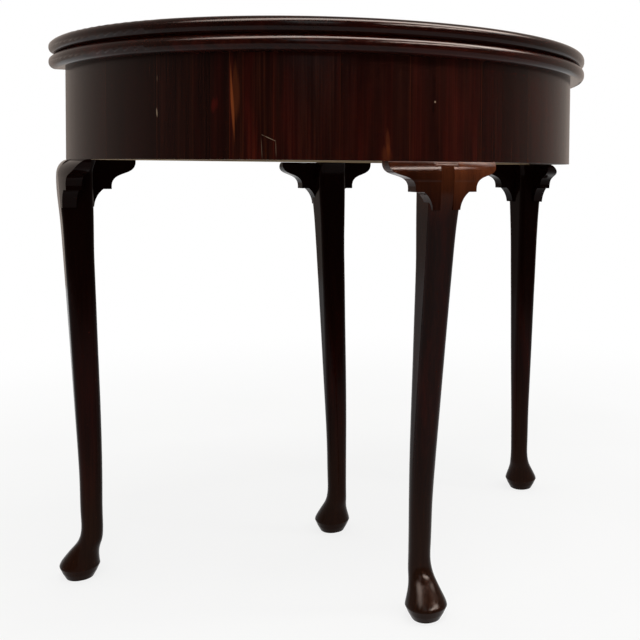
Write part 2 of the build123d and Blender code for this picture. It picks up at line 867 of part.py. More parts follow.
save("inner_back_rail", inner_back_rail())
save("left_outer_rail", left_outer_rail())
save("knuckle_rail", knuckle_rail())
save("left_packing_block", packing_block(-corner_stile_inner_x, -stile_half - packing_setback))
save("right_packing_block", packing_block(gate_pivot_x + knuckle_shoulder, corner_stile_inner_x))
save("centre_brace", centre_brace())
save("glue_blocks", glue_blocks())
save("top_screws", top_screws())
save("knuckle_pin", knuckle_pin())
for name, centre_x in zip(("left", "right"), hinge_centres()):
    save(f"{name}_hinge_fixed_plate", hinge_plate(centre_x, -1))
save("fixed_hinge_screws", hinge_screws(-1))
save("hinge_pins", hinge_pins())

# Write the folding leaf and what moves with it
save("folding_leaf", folding_leaf())
save("locating_tongue", tongue(0))
for name, centre_x in zip(("left", "right"), hinge_centres()):
    save(f"{name}_hinge_flap_plate", hinge_plate(centre_x, 1))
save("flap_hinge_screws", hinge_screws(1))

# Write the gate
swinging_leg = gate_leg()
save("gate_leg", swinging_leg)
save("gate_leg_left_ear", back_ear(-1, 0, gate_knee_back_y, swinging_leg, ear_clearance))
save("gate_leg_right_ear", back_ear(1, 0, gate_knee_back_y, swinging_leg))
save("gate_rail", gate_rail())
save("gate_tenon_pegs", Compound(children=gate_pegs()))
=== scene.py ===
import math

import bmesh
import bpy
from bpy.props import FloatProperty, FloatVectorProperty, PointerProperty
from bpy.types import Operator, Panel, PropertyGroup
from mathutils import Matrix, Vector


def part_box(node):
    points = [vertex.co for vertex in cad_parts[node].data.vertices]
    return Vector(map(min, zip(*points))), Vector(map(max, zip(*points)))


bl_info = {
    "name": "Folding Card Table",
    "version": (1, 0, 0),
    "blender": (4, 5, 0),
    "location": "3D View > Sidebar > Card Table",
    "description": "Finishes the pieces of a half-round folding card table and lights them",
    "category": "Object",
}

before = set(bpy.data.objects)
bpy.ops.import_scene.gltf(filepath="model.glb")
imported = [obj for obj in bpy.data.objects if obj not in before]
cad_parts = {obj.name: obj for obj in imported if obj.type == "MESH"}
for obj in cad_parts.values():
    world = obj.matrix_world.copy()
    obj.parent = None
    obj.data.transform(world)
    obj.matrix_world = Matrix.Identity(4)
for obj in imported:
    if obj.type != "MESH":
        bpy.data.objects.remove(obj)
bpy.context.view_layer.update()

MM = 0.001

# The frieze is struck from a centre behind its front, with this radius
FRIEZE_RADIUS = 380 * MM

VENEER = [f"veneer_leaf_{number:02d}" for number in range(1, 16)]
BRICKS = [
    f"{side}_{course}_bricks"
    for side in ("left", "right") for course in ("lower", "middle", "upper")
]
SOFTWOOD_NODES = BRICKS + [
    "inner_back_rail", "left_packing_block", "right_packing_block", "centre_brace", "glue_blocks",
]
RAIL_NODES = ["left_outer_rail", "knuckle_rail", "gate_rail"]
BRASS_NODES = [
    "left_hinge_fixed_plate", "right_hinge_fixed_plate",
    "left_hinge_flap_plate", "right_hinge_flap_plate", "hinge_pins",
]
SCREW_NODES = ["top_screws", "fixed_hinge_screws", "flap_hinge_screws"]

# Legs, then ears: nodes, what their mahogany is named for, seed, how far the knee is rubbed
# and lightened with painted light, and how much painted shade darkens the top
LEGS = (
    (["front_leg"], "front_leg", 11.0, 0.42, 0.1),
    (["left_leg"], "left_leg", 13.4, 0, 0.9),
    (["right_leg"], "right_leg", 15.8, 0, 0.9),
    (["gate_leg"], "gate_leg", 17.2, 0, 0.9),
)
# The front ears' shares differ as painted light: the right ear is lighter, the left ear darker
EARS = (
    (["front_leg_left_ear"], "front_left_ear", 21.0, 0.28, 0.1),
    (["front_leg_right_ear"], "front_right_ear", 22.0, 0.75, 0.1),
    (["left_leg_front_ear", "left_leg_back_ear", "right_leg_front_ear", "right_leg_back_ear",
      "gate_leg_left_ear", "gate_leg_right_ear"], "ears", 23.0, 0, 0.9),
)

# Tones of mahogany are shares of brown, red and amber. These are the veneer leaves', from the
# left corner to the right
LEAF_TONES = [
    (0.55, 0.00, 0.02), (0.50, 0.00, 0.02), (0.45, 0.05, 0.02), (0.60, 0.15, 0.04),
    (0.45, 0.25, 0.02), (0.85, 0.60, 0.09), (0.75, 0.45, 0.05), (0.65, 0.30, 0.03),
    (0.70, 0.30, 0.05), (0.60, 0.12, 0.03), (0.75, 0.20, 0.05), (0.65, 0.20, 0.04),
    (0.85, 0.10, 0.10), (1.00, 0.05, 0.14), (0.90, 0.05, 0.10),
]
LEG_TONES = (0.35, 0.18, 0.02)
FIXED_LEAF_TONES = (0.5, 0.3, 0.04)
FOLDING_LEAF_TONES = (0.3, 0.1, 0.02)
TONGUE_TONES = (0.7, 0.3, 0.1)

# Marks on the frieze: distance along the arc from the middle and height, both in mm,
# half width, half height, tilt in degrees, strength and kind
FRIEZE_MARKS = [
    (-254.0, 633.0, 1.8, 42.0, 3.0, 0.62, "amber"),
    (-250.0, 645.0, 5.0, 30.0, 0.0, 0.16, "amber"),
    (-276.5, 631.5, 4.2, 9.5, -8.0, 0.50, "red"),
    (-76.0, 577.0, 7.0, 12.0, 0.0, 0.14, "amber"),
    (-75.0, 590.0, 3.2, 15.0, 4.0, 0.16, "amber"),
    (-16.0, 639.3, 0.9, 1.1, 0.0, 0.80, "pale"),
    (-353.5, 624.0, 0.7, 5.0, 4.0, 0.60, "pale"),
    (-353.0, 664.0, 0.5, 4.0, 0.0, 0.25, "pale"),
    (-211.0, 594.0, 8.5, 0.45, -24.0, 0.40, "pale"),
    (-219.5, 583.0, 0.35, 12.0, 3.0, 0.16, "pale"),
    (-203.0, 581.5, 0.35, 11.0, 2.0, 0.22, "pale"),
]
# A mark starts and is full at these shares of its half size, give or take a ragged edge
MARK_FADE = (1.2, 0.5)
RAGGED_EDGE = 0.35
# The light line of a joint is full over this share of its width, and this strong
JOINT_CORE = 0.2
JOINT_SHARE = 0.14

# Each seed moves a pattern by these steps along X, Y and Z
SEED_STEPS = (3.7, 1.9, 5.3)
VENEER_SEED = 7
VENEER_SEED_STEP = 1.3

# A noise pattern seldom leaves this range
NOISE = (0.3, 0.7)
# Brown keeps this share in the dark bands of the figure
BROWN_BANDS = 0.6
# Values of a pattern at which a tone starts and is full, and its share where that is fixed
RED_FIGURE = (0.40, 0.80)
AMBER_STREAKS = (0.42, 0.80)
BLACK_STREAKS = (0.54, 0.30, 0.25)
BLACK_PORES = (0.55, 0.75, 0.30)
KNEE_PORES = (0.55, 0.70, 0.35)
OPEN_PORES = (0.60, 0.74)
# Roughness that the streaks take away or add, and that veneer and legs differ by
STREAK_ROUGHNESS = (-0.03, 0.05)
VENEER_ROUGHNESS = 0.05
LEG_ROUGHNESS = -0.04
# Slow waves of a rubbed surface are this much longer along the grain
WAVE_STRETCH = 3
POLISH_IOR = 1.5

# The redder playing side starts and is full at these distances from the seam
PLAYING_FADE = (0.4 * MM, 0.1 * MM)
PLAYING_SHARE = 0.8

# Heights on a leg at which painted shade, the foot's colour and its wear start and are full, and
# what they come to
TOP_SHADE_RISE = (150 * MM, 450 * MM)
FOOT_FADE = (240 * MM, 30 * MM, 0, 0.85)
FOOT_WEAR = (120 * MM, 0, 0, 0.06)
KNEE_TOP = 5 * MM
KNEE_BOTTOM = 75 * MM
# Patches in the knee's rub and painted light, and in the foot's wear: the pattern's range, and the
# share left outside them
KNEE_PATCHES = (0.3, 0.65, 0.35, 1)
FOOT_PATCHES = (*NOISE, 0.6, 1)

# Bare wood: pattern values as above, the shade of its bands and rings, how many times longer
# than wide its rings are, and what rings and grime add to its seed
DARK_BANDS = (0.7, 0.3, 0.5)
BAND_SHADE = 0.6
RINGS = (0.52, 0.66, 0.55)
RING_SHADE = 0.5
RING_STRETCH = 60
RING_SEED = 2
BROWN_STREAKS = (0.45, 0.7, 0.25)
GRIME = (0.45, 0.75, 0.35)
GRIME_SIZE = 60 * MM
GRIME_SEED = 4

# Metal: size of the film's clouds, where it covers, what it adds to roughness, depth of pits
FILM_SIZE = 9 * MM
FILM_COVER = (0.35, 0.65, 0, 0.75)
FILM_ROUGHNESS = 0.25
PIT_DEPTH = 0.04 * MM

# Width of the camera's frame in mm
SENSOR_WIDTH = 36

FLOOR_SIDES = 96
FLOOR_CLOUD_SIZE = 333 * MM
# Metres from the table between which the floor turns white to the eye, and by what share
FLOOR_FADE = (0.6, 1.8, 0.80, 1)

# The room that the polish mirrors. BACK_WAY points behind the table and a little to the right
BACK_WAY = (0.26, 0.96, 0)
BACK_FADE = (-0.98, 0.40)
# A band of light runs from left to right overhead, square to BAND_WAY
BAND_WAY = (0, 0.93, 0.367)
BAND_EDGE = (0.26, 0.12)
BAND_RISE = (0.50, 0.72, 0, 1)
# A low window lies towards WINDOW_WAY: its height, soft edges, and brightness in bands
WINDOW_WAY = (0.42, -0.91, 0)
WINDOW_SIDE = (0.80, 0.835, 0, 1)
WINDOW_HEIGHT = 0.50
WINDOW_EDGE = (0.07, 0.03)
WINDOW_SHARE = 2.6

# Lamps: name, place, the place lit, width and height, all in metres, and watts
LAMPS = (
    ("lamp_over", (0.0, -0.6, 2.3), (0, 0, 0.7), (1.6, 0.5), 16),
    ("lamp_front", (-1.3, -2.4, 1.7), (0, -0.1, 0.4), (0.9, 0.9), 8),
    ("lamp_right", (1.6, -1.0, 2.0), (0, -0.2, 0.1), (0.3, 0.8), 6),
)


def linear(hex_colour):
    """Turn a written sRGB colour into the linear values that the shaders take."""
    parts = [int(hex_colour[i:i + 2], 16) / 255 for i in (1, 3, 5)]
    return tuple(p / 12.92 if p <= 0.04045 else ((p + 0.055) / 1.055) ** 2.4 for p in parts)


def colour_property(name, hex_colour, description):
    """A colour that the user can change."""
    return FloatVectorProperty(
        name=name, description=description, subtype="COLOR", size=3, min=0, max=1,
        default=linear(hex_colour))


def size_property(name, millimetres, description):
    """A length that the user can change."""
    return FloatProperty(
        name=name, description=description, unit="LENGTH", min=0, default=millimetres * MM)


def share_property(name, value, description):
    """A share from nought to one that the user can change."""
    return FloatProperty(
        name=name, description=description, subtype="FACTOR", min=0, max=1, default=value)


class TableFinish(PropertyGroup):
    """Colours, grain sizes and shine of the woods and metals."""

    # The same black is also painted shade: it darkens the legs towards the top, under the frieze
    black_polish_and_shade: colour_property(
        "Darkest polish", "#0b0302", "Mahogany where the old polish has gone nearly black")
    polish_brown: colour_property(
        "Brown polish", "#240904", "Mahogany under clean dark polish")
    polish_red: colour_property(
        "Red polish", "#450b05", "Mahogany where light gets through the polish")
    polish_amber: colour_property(
        "Amber polish", "#84401c", "Faded streaks and patches in the veneer")
    scratch: colour_property(
        "Scratch", "#a8937b", "Scratches down to the bare pores")
    # Partly painted light: besides real rubbing, the front knee and its right ear are lightened
    # where they face the lamps
    knee_brown_and_light: colour_property(
        "Knee brown", "#5e2f18", "Front knee, rubbed and bleached to a warm brown")
    foot_brown: colour_property(
        "Foot brown", "#23140c", "Feet, dulled by knocks and floor wax")
    playing_side: colour_property(
        "Playing side", "#54220f", "The inner faces of the leaves, kept from the light")
    softwood: colour_property(
        "Softwood", "#a08a6c", "Deal of the cores and hidden rails, gone brown with age")
    hardwood: colour_property(
        "Rail wood", "#9c8263", "Oak or beech of the outer back rails")
    # Painted shade, not a stain: this dark colour stands in for the shade under the frieze's right
    # half
    shade_painted_softwood: colour_property(
        "Stained softwood", "#2b2019", "Deal under the frieze's right half, stained dark")
    brass: colour_property("Brass", "#8f7040", "Hinges with an old brown film")
    brass_film: colour_property("Brass film", "#3a2814", "Tarnish on the brass")
    steel: colour_property("Screw steel", "#77736d", "Wood screws, dull and a little brown")
    steel_film: colour_property("Rust", "#3d2c20", "Old rust in the screws' slots")
    iron: colour_property("Pin iron", "#4b4743", "Wrought iron pin of the gate")
    iron_film: colour_property("Scale", "#3a2418", "Scale and rust on the iron")
    streak_width: size_property("Streak width", 2.6, "Width of the grain's darker streaks")
    streak_length: size_property("Streak length", 170, "Length of the streaks along the grain")
    pore_width: size_property("Pore width", 1.3, "Mahogany's pores, drawn wide enough to show")
    pore_length: size_property("Pore length", 17, "Length of the open pores along the grain")
    figure_width: size_property("Figure width", 22, "Width of the broad light and dark bands")
    figure_length: size_property("Figure length", 260, "Length of the broad bands")
    polish_roughness: share_property("Polish roughness", 0.17, "French polish, rubbed but old")
    polish_shine: share_property("Polish shine", 0.11, "Specular level of leaves and frieze")
    leg_shine: share_property("Leg shine", 0.035, "Specular level of the duller legs")
    front_shine: share_property("Front leg shine", 0.06, "Specular level of the front leg")
    joint_width: size_property("Joint line", 0.7, "Light line where two veneer leaves meet")


class TableStage(PropertyGroup):
    """Floor, camera, room and lamps."""

    floor_radius: size_property("Floor radius", 3000, "Radius of the pale floor")
    camera_place: FloatVectorProperty(
        name="Camera place", description="Where the photograph was taken from",
        subtype="TRANSLATION", unit="LENGTH", size=3, default=(-0.5248, -1.0722, 0.5602))
    camera_turn: FloatVectorProperty(
        name="Camera turn", description="Pitch, roll and heading of the camera",
        subtype="EULER", size=3, default=(-0.0402, 0.0084, 0.4957))
    camera_lens: FloatProperty(
        name="Focal length", description="Focal length for a frame 36 mm wide",
        subtype="DISTANCE_CAMERA", default=48.85)
    camera_shift: FloatVectorProperty(
        name="Camera shift", description="Shift of the frame, as shares of its width",
        size=2, default=(-0.1469, -0.1813))
    daylight: share_property("Daylight", 0.65, "Level of the room's even light")
    mirror_back: share_property("Room behind", 0.66, "Room behind the table, in the polish")
    mirror_front: share_property("Room in front", 0.003, "Dark room in front, in the polish")
    mirror_tone: colour_property("Room's tone", "#ffeee2", "Warm grey walls, in the polish")
    band: FloatProperty(
        name="Lamps in the polish", description="Brightness of the lamps as the polish shows them",
        min=0, default=34)
    floor_white: colour_property("Floor", "#f4f4f2", "Pale painted floor")
    floor_cloud: colour_property("Floor clouds", "#dcdcd8", "Faint clouds in the floor's paint")


def add(tree, kind, inputs=(), out=None, **settings):
    """Add a node, or its output named by out; inputs are values to set or sockets to link."""
    node = tree.nodes.new(kind)
    for field, value in settings.items():
        setattr(node, field, value)
    pairs = inputs.items() if isinstance(inputs, dict) else enumerate(inputs)
    for key, value in pairs:
        socket = node.inputs[key]
        if isinstance(value, bpy.types.NodeSocket):
            tree.links.new(value, socket)
        elif socket.type == "RGBA":
            socket.default_value = (*value, 1)
        else:
            socket.default_value = value
    return node if out is None else node.outputs[out]


def empty_material(name):
    """A new material, and its tree with nothing in it."""
    material = bpy.data.materials.new(name)
    material.use_nodes = True
    material.node_tree.nodes.clear()
    return material, material.node_tree


def pattern(tree, place, axis, width, length, seed, detail, bend):
    """Noise drawn out along the grain, width across it and length along it."""
    scale = [1 / width] * 3
    scale["XYZ".index(axis)] = 1 / length
    shift = [seed * step for step in SEED_STEPS]
    mapped = add(tree, "ShaderNodeMapping", {"Vector": place, "Location": shift, "Scale": scale}, 0)
    noise = {"Vector": mapped, "Scale": 1, "Detail": detail, "Distortion": bend}
    return add(tree, "ShaderNodeTexNoise", noise, "Fac")


def ray_kinds(tree):
    """Whether a ray comes from the camera, and whether it comes by a mirror or through glass."""
    path = add(tree, "ShaderNodeLightPath")
    bent = add(
        tree, "ShaderNodeMath",
        (path.outputs["Is Glossy Ray"], path.outputs["Is Transmission Ray"]), 0,
        operation="MAXIMUM")
    return path.outputs["Is Camera Ray"], bent


class Timber:
    """A node material of one wood while it is being put together."""

    def __init__(self, name, axis, seed):
        self.look = look = bpy.context.scene.table_finish
        self.material, self.tree = empty_material(name)
        self.place = add(self.tree, "ShaderNodeTexCoord", out="Object")
        self.x, self.y, self.z = add(self.tree, "ShaderNodeSeparateXYZ", [self.place]).outputs
        self.axis = axis
        self.seed = seed
        self.figure = self.grain(look.figure_width, look.figure_length, detail=3, bend=0.7)
        self.streak = self.grain(look.streak_width, look.streak_length, detail=4, bend=0.3)
        # Real pores are a quarter of a millimetre wide, too fine to show, so they are drawn wider
        self.pore = self.grain(look.pore_width, look.pore_length, detail=2, bend=0)
        self.colour = look.black_polish_and_shade
        self.wear = 0.0

    def grain(self, width, length, detail, bend, seed_step=0):
        """Noise along this wood's grain."""
        return pattern(
            self.tree, self.place, self.axis, width, length, self.seed + seed_step, detail, bend)

    def tint(self, share, colour):
        """Lay one more colour over the wood by a share."""
        self.colour = add(
            self.tree, "ShaderNodeMix", {0: share, 6: self.colour, 7: colour}, 2, data_type="RGBA")

    def tint_where(self, value, low, high, share, colour):
        """Lay a colour over the wood where a value passes from low to high."""
        reach = add(
            self.tree, "ShaderNodeMapRange", (value, low, high, 0, share), 0,
            interpolation_type="SMOOTHSTEP")
        self.tint(reach, colour)

    def mahogany(self, brown, red, amber):
        """Dark French-polished mahogany, by the shares of its tones."""
        bands = add(
            self.tree, "ShaderNodeMapRange", (self.figure, *NOISE, BROWN_BANDS * brown, brown), 0)
        self.tint(bands, self.look.polish_brown)
        self.tint_where(self.figure, *RED_FIGURE, red, self.look.polish_red)
        self.tint_where(self.streak, *AMBER_STREAKS, amber, self.look.polish_amber)
        self.tint_where(self.streak, *BLACK_STREAKS, self.look.black_polish_and_shade)
        self.tint_where(self.pore, *BLACK_PORES, self.look.black_polish_and_shade)

    def rub(self, share, patches, colour):
        """Lay a colour over the wood by a share that is broken into patches."""
        patchy = add(self.tree, "ShaderNodeMath", (share, patches), 0, operation="MULTIPLY")
        self.tint(patchy, colour)

    def complete(self, roughness, pore_depth, waviness, wave_size, specular):
        """Close the material with its shine and relief."""
        tree = self.tree
        dulled = add(tree, "ShaderNodeMapRange", (self.streak, *NOISE, *STREAK_ROUGHNESS), 0)
        rough = add(tree, "ShaderNodeMath", (dulled, roughness), 0, operation="ADD")
        rough = add(tree, "ShaderNodeMath", (rough, self.wear), 0, operation="ADD")
        waves = self.grain(wave_size, wave_size * WAVE_STRETCH, detail=1, bend=0)
        relief = add(
            tree, "ShaderNodeBump", {"Strength": 1, "Distance": waviness, "Height": waves}, 0)
        open_pores = add(tree, "ShaderNodeMapRange", (self.pore, *OPEN_PORES, 1, 0), 0)
        relief = add(tree, "ShaderNodeBump", {
            "Strength": 1, "Distance": pore_depth, "Height": open_pores, "Normal": relief}, 0)
        shader = add(tree, "ShaderNodeBsdfPrincipled", {
            "Base Color": self.colour, "Roughness": rough, "IOR": POLISH_IOR,
            "Specular IOR Level": specular, "Normal": relief}, 0)
        add(tree, "ShaderNodeOutputMaterial", [shader])
        return self.material


def polished_leaf(name, tones, seed, seam, side):
    """French-polished mahogany board, on one side of the seam, with its grain across the table."""
    # French polish over dark mahogany: a thin glassy skin with slow waves, black-brown to the
    # eye, with long grain that only shows where the light comes through
    wood = Timber(name, "X", seed)
    wood.mahogany(*tones)
    # The playing side never saw the sun and the cleaning cloth, and stays redder
    start, full = (seam + side * away for away in PLAYING_FADE)
    wood.tint_where(wood.z, start, full, PLAYING_SHARE, wood.look.playing_side)
    return wood.complete(
        wood.look.polish_roughness, pore_depth=0.02 * MM, waviness=0.03 * MM, wave_size=45 * MM,
        specular=wood.look.polish_shine)


def frieze_centre():
    """Place along Y of the centre from which the frieze is struck."""
    front = min(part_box(node)[0].y for node in VENEER)
    return front + FRIEZE_RADIUS


def arc_place(x):
    """Distance along the frieze's arc, in mm, of a place across the table."""
    share = max(-1.0, min(1.0, x / FRIEZE_RADIUS))
    return math.asin(share) * FRIEZE_RADIUS / MM


def veneer_leaf(number, node):
    """Mahogany veneer with its grain upright, its marks and light joint lines."""
    # Straight-grained mahogany veneer under the same polish: calm upright grain, leaves that
    # differ a little in tone, faded streaks, and fine scratches
    seed = VENEER_SEED + number * VENEER_SEED_STEP
    wood = Timber(f"polished_mahogany_veneer_{number + 1:02d}", "Z", seed)
    wood.mahogany(*LEAF_TONES[number])
    tree = wood.tree
    look = wood.look
    low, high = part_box(node)
    depth = add(tree, "ShaderNodeMath", (frieze_centre(), wood.y), 0, operation="SUBTRACT")
    turn = add(tree, "ShaderNodeMath", (wood.x, depth), 0, operation="ARCTAN2")
    # Distance along the arc from the frieze's middle, and height, in mm
    along = add(tree, "ShaderNodeMath", (turn, FRIEZE_RADIUS / MM), 0, operation="MULTIPLY")
    height = add(tree, "ShaderNodeMath", (wood.z, 1 / MM), 0, operation="MULTIPLY")
    spot = add(tree, "ShaderNodeCombineXYZ", (along, height), 0)
    ragged = add(
        tree, "ShaderNodeMapRange", (wood.streak, *NOISE, -RAGGED_EDGE, RAGGED_EDGE), 0)
    tones = {"amber": look.polish_amber, "red": look.polish_red, "pale": look.scratch}
    first = arc_place(low.x)
    last = arc_place(high.x)
    for s, z, half_width, half_height, tilt, strength, kind in FRIEZE_MARKS:
        if not first - half_width < s < last + half_width:
            continue
        local = add(tree, "ShaderNodeMapping", {
            "Vector": spot, "Location": (s, z, 0), "Rotation": (0, 0, math.radians(tilt)),
            "Scale": (half_width, half_height, 1)}, 0, vector_type="TEXTURE")
        reach = add(tree, "ShaderNodeVectorMath", [local], "Value", operation="LENGTH")
        reach = add(tree, "ShaderNodeMath", (reach, ragged), 0, operation="ADD")
        wood.tint_where(reach, *MARK_FADE, strength, tones[kind])
    width = look.joint_width / MM
    for edge in (first, last):
        away = add(tree, "ShaderNodeMath", (along, edge), 0, operation="SUBTRACT")
        away = add(tree, "ShaderNodeMath", [away], 0, operation="ABSOLUTE")
        wood.tint_where(away, width, JOINT_CORE * width, JOINT_SHARE, look.polish_amber)
    return wood.complete(
        look.polish_roughness + VENEER_ROUGHNESS, pore_depth=0.03 * MM,
        waviness=0.05 * MM, wave_size=38 * MM, specular=look.polish_shine)


def leg_wood(name, seed, knee_rub_and_light, knee_z, top_shade):
    """Solid mahogany of the legs: darkened above by painted shade, rubbed and lightened by painted
    light at the knee, and dulled at the foot.
    """
    # Solid mahogany, French-polished and handled for long: painted shade makes it nearly black
    # under the frieze; it is redder down the shank, and duller, browner and knocked at the foot
    wood = Timber(name, "Z", seed)
    tree = wood.tree
    look = wood.look
    wood.mahogany(*LEG_TONES)
    # Painted shade: the leg turns nearly black towards the top, under the frieze
    wood.tint_where(wood.z, *TOP_SHADE_RISE, top_shade, look.black_polish_and_shade)
    # The knee's brown is rubbing and painted light: the front leg and its right ear take most, the
    # left ear less
    if knee_rub_and_light:
        knee = add(
            tree, "ShaderNodeMapRange",
            (wood.z, knee_z - KNEE_BOTTOM, knee_z - KNEE_TOP, 0, knee_rub_and_light), 0,
            interpolation_type="SMOOTHSTEP")
        patches = add(tree, "ShaderNodeMapRange", (wood.figure, *KNEE_PATCHES), 0)
        wood.rub(knee, patches, look.knee_brown_and_light)
        wood.tint_where(wood.pore, *KNEE_PORES, look.polish_brown)
    foot = add(
        tree, "ShaderNodeMapRange", (wood.z, *FOOT_FADE), 0, interpolation_type="SMOOTHSTEP")
    patches = add(tree, "ShaderNodeMapRange", (wood.streak, *FOOT_PATCHES), 0)
    wood.rub(foot, patches, look.foot_brown)
    wood.wear = add(tree, "ShaderNodeMapRange", (wood.z, *FOOT_WEAR), 0)
    return wood.complete(
        look.polish_roughness + LEG_ROUGHNESS, pore_depth=0.03 * MM, waviness=0.04 * MM,
        wave_size=30 * MM, specular=look.front_shine if knee_rub_and_light else look.leg_shine)


def bare_wood(name, axis, colour, seed, ring_width):
    """Unpolished timber with growth rings, gone brown and dusty."""
    # Sawn and planed timber that was never polished: matt, straw to grey-brown, with growth
    # rings, open grain and a century of grime
    wood = Timber(name, axis, seed)
    wood.colour = colour
    wood.tint_where(wood.figure, *DARK_BANDS, [part * BAND_SHADE for part in colour])
    rings = wood.grain(
        ring_width, ring_width * RING_STRETCH, detail=2, bend=1.2, seed_step=RING_SEED)
    wood.tint_where(rings, *RINGS, [part * RING_SHADE for part in colour])
    wood.tint_where(wood.streak, *BROWN_STREAKS, wood.look.polish_brown)
    grime = wood.grain(GRIME_SIZE, GRIME_SIZE, detail=4, bend=0.5, seed_step=GRIME_SEED)
    wood.tint_where(grime, *GRIME, wood.look.polish_brown)
    return wood.complete(
        roughness=0.62, pore_depth=0.10 * MM, waviness=0.15 * MM, wave_size=12 * MM,
        specular=0.3)


def old_metal(name, colour, film, roughness, grit):
    """Worn metal under a film of tarnish or rust, with fine pits all over."""
    # Brass, steel or iron by its colour: dull where the film lies, smoother where it is rubbed
    material, tree = empty_material(name)
    place = add(tree, "ShaderNodeTexCoord", out="Object")
    cloud = add(tree, "ShaderNodeTexNoise", {
        "Vector": place, "Scale": 1 / FILM_SIZE, "Detail": 5, "Roughness": 0.6}, "Fac")
    pits = add(tree, "ShaderNodeTexNoise", {"Vector": place, "Scale": 1 / grit, "Detail": 2}, "Fac")
    covered = add(tree, "ShaderNodeMapRange", (cloud, *FILM_COVER), 0)
    tone = add(tree, "ShaderNodeMix", {0: covered, 6: colour, 7: film}, 2, data_type="RGBA")
    rough = add(
        tree, "ShaderNodeMapRange", (cloud, *NOISE, roughness, roughness + FILM_ROUGHNESS), 0)
    bump = add(tree, "ShaderNodeBump", {"Strength": 1, "Distance": PIT_DEPTH, "Height": pits}, 0)
    shader = add(tree, "ShaderNodeBsdfPrincipled", {
        "Base Color": tone, "Metallic": 1, "Roughness": rough, "Normal": bump}, 0)
    add(tree, "ShaderNodeOutputMaterial", [shader])
    return material


def floor_paint(stage):
    """Pale paint that turns to white away from the table and keeps its shadow near it."""
    # Matt floor paint, rolled on: off-white with faint clouds, and no shine
    material, tree = empty_material("painted_floor")
    place = add(tree, "ShaderNodeTexCoord", out="Object")
    cloud = add(tree, "ShaderNodeTexNoise", {
        "Vector": place, "Scale": 1 / FLOOR_CLOUD_SIZE, "Detail": 3}, "Fac")
    paint = add(
        tree, "ShaderNodeMix", {0: cloud, 6: stage.floor_white, 7: stage.floor_cloud}, 2,
        data_type="RGBA")
    matt = add(tree, "ShaderNodeBsdfDiffuse", [paint], 0)
    glow = add(tree, "ShaderNodeEmission", [(1, 1, 1), 1], 0)
    away = add(tree, "ShaderNodeVectorMath", [place], "Value", operation="LENGTH")
    far = add(
        tree, "ShaderNodeMapRange", (away, *FLOOR_FADE), 0, interpolation_type="SMOOTHSTEP")
    seen, bent = ray_kinds(tree)
    seen = add(tree, "ShaderNodeMath", (seen, bent), 0, operation="MAXIMUM")
    share = add(tree, "ShaderNodeMath", (seen, far), 0, operation="MULTIPLY")
    both = add(tree, "ShaderNodeMixShader", (share, matt, glow), 0)
    add(tree, "ShaderNodeOutputMaterial", [both])
    return material


def dress(names, material):
    """Give CAD nodes their finished material."""
    for name in names:
        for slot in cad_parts[name].material_slots:
            slot.material = material


